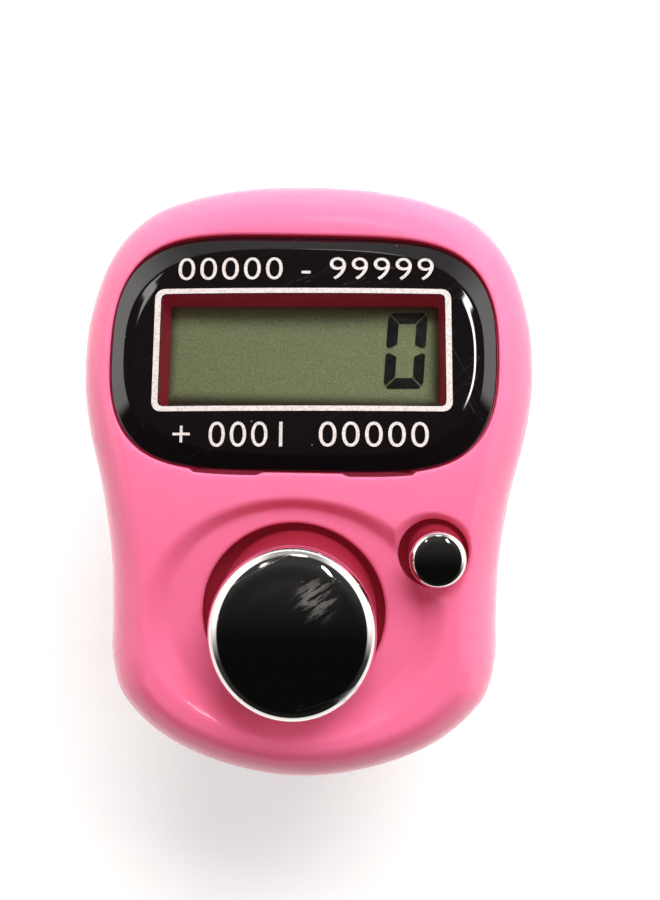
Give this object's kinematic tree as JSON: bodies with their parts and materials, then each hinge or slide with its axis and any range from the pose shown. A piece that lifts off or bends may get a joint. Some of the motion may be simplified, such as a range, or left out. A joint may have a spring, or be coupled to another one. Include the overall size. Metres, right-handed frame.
{
  "type": "digital tally counter",
  "caption": "Finger-worn digital tally counter with a domed display lens, a large count button, a small reset button, a battery door and an adjustable strap loop.",
  "frame": {"origin": "under the middle of the case, on the surface that the strap loop stands on", "axes": "+X along the reading direction, +Y towards the top of the display, +Z out of the face"},
  "size_m": [0.032, 0.042, 0.0331],
  "materials": {
    "case_plastic": "glossy moulded pink",
    "strap_plastic": "soft satin pink",
    "lens_acrylic": "polished black with a clear window",
    "black_tape": "matt black",
    "lcd_film": "satin grey-green film",
    "lcd_glass": "clear glass with a grey-green tint",
    "white_plastic": "matt white",
    "ribbon_film": "amber film",
    "board_laminate": "green solder mask",
    "black_epoxy": "glossy black resin",
    "chip_ceramic": "satin",
    "bright_metal": "bright nickel",
    "chrome_plate": "bright chrome plating on plastic",
    "grey_rubber": "matt",
    "contact_metal": "bright spring metal",
    "screw_steel": "plated"
  },
  "bodies": {
    "case": {"front_case": "case_plastic", "back_case": "case_plastic", "battery_door": "case_plastic", "strap": "strap_plastic", "display_lens": "lens_acrylic", "lens_tape": "black_tape", "lcd_polariser": "lcd_film", "lcd_cell": "lcd_glass", "lcd_reflector": "lcd_film", "lcd_frame": "white_plastic", "lcd_ribbon": "ribbon_film", "circuit_board": "board_laminate", "chip_blob": "black_epoxy", "crystal": "bright_metal", "capacitor_1": "chip_ceramic", "capacitor_2": "chip_ceramic", "resistor_1": "chip_ceramic", "count_dome": "grey_rubber", "reset_dome": "grey_rubber", "contact_positive": "contact_metal", "contact_negative": "contact_metal", "battery": "bright_metal", "case_screw_1": "screw_steel", "case_screw_2": "screw_steel", "case_screw_3": "screw_steel", "case_screw_4": "screw_steel", "board_screw_1": "screw_steel", "board_screw_2": "screw_steel", "door_screw": "screw_steel"},
    "count_key": {"count_button": "chrome_plate"},
    "reset_key": {"reset_button": "chrome_plate"}
  },
  "joints": [
    {"name": "count_press", "type": "slide", "parent": "case", "child": "count_key", "axis": [0, 0.1045, -0.9945], "range_m": [0, 0.001], "stiffness_N_per_m": 900, "springref_m": -0.0005, "deforming": ["count_dome"]},
    {"name": "reset_press", "type": "slide", "parent": "case", "child": "reset_key", "axis": [0, 0.1045, -0.9945], "range_m": [0, 0.0006], "stiffness_N_per_m": 900, "springref_m": -0.0005, "deforming": ["reset_dome"]}
  ]
}
